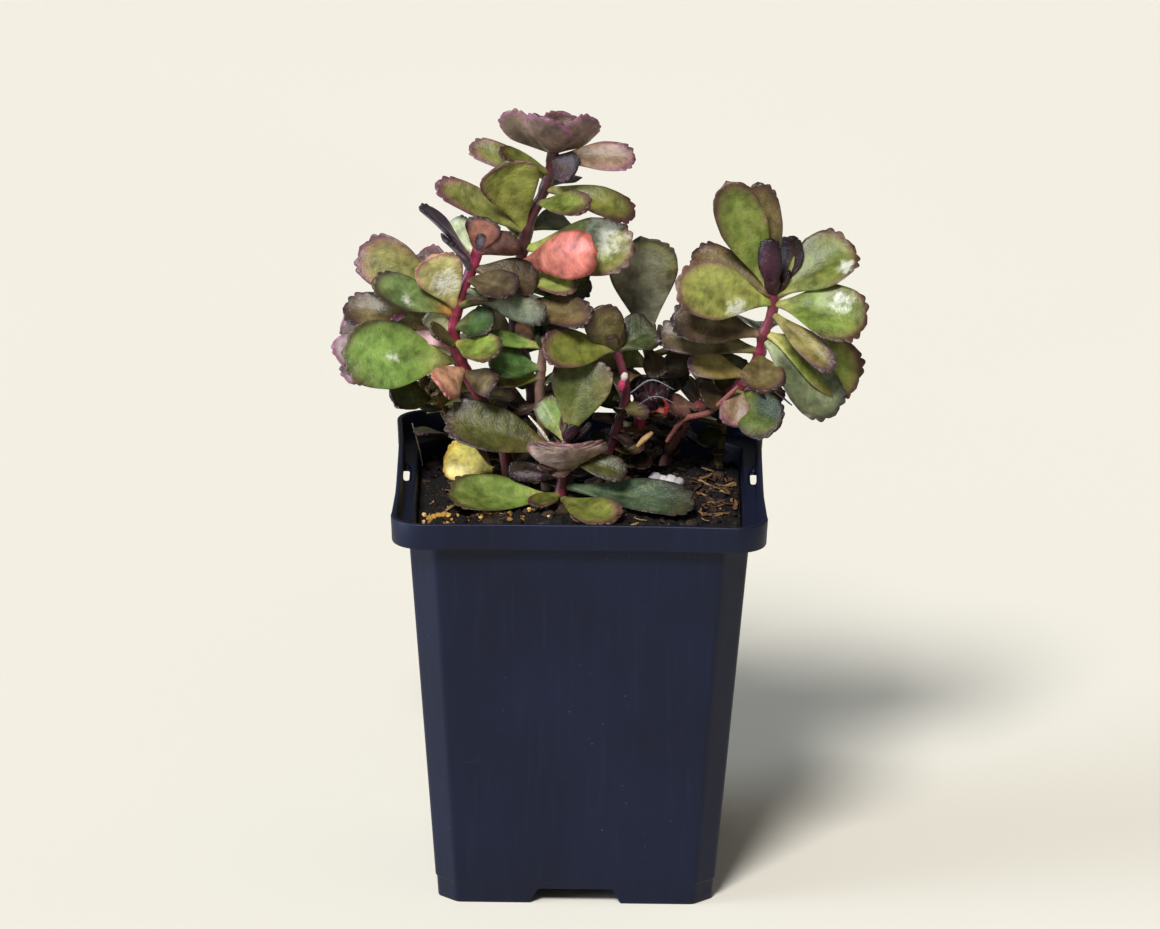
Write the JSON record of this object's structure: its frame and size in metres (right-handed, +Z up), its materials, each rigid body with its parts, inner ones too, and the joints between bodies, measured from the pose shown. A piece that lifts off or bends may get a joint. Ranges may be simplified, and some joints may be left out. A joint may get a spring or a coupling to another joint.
{
  "type": "potted two-row stonecrop",
  "caption": "Potted two-row stonecrop with toothed wedge-shaped leaves on leafy stems, standing in soil in a square tapered nursery pot with a collar rim.",
  "frame": {"origin": "on the ground under the middle of the pot, on the flat of its centre pad", "axes": "+Z up the plant, -Y towards the side that is pictured, +X to the viewer's right"},
  "size_m": [0.1285, 0.09, 0.1885],
  "materials": {
    "pot_plastic": "satin, moulded",
    "soil": "rough, moist",
    "purple_olive_leaves": "waxy leaf, olive green with purple-brown rims",
    "olive_leaves": "waxy leaf, olive green",
    "green_leaves": "waxy leaf, bright green with brown rims",
    "dark_red_leaves": "glossy, dark red bud leaves",
    "yellow_leaf": "matt, faded yellow leaf",
    "perlite": "matt, white crumbs",
    "golden_grains": "matt, sandy golden grains"
  },
  "bodies": {
    "root": {"pot": "pot_plastic", "potting_soil": "soil", "tall_shoot": "purple_olive_leaves", "left_shoot": "purple_olive_leaves", "low_left_shoot": "olive_leaves", "middle_shoot": "green_leaves", "front_shoot": "green_leaves", "red_middle_shoot": "olive_leaves", "bud_shoot": "dark_red_leaves", "centre_back_shoot": "olive_leaves", "right_shoot": "purple_olive_leaves", "back_left_shoot": "green_leaves", "back_right_shoot": "green_leaves", "yellow_fallen_leaf": "yellow_leaf", "perlite_crumbs": "perlite", "golden_grains_left": "golden_grains", "golden_grains_front": "golden_grains"}
  },
  "joints": []
}
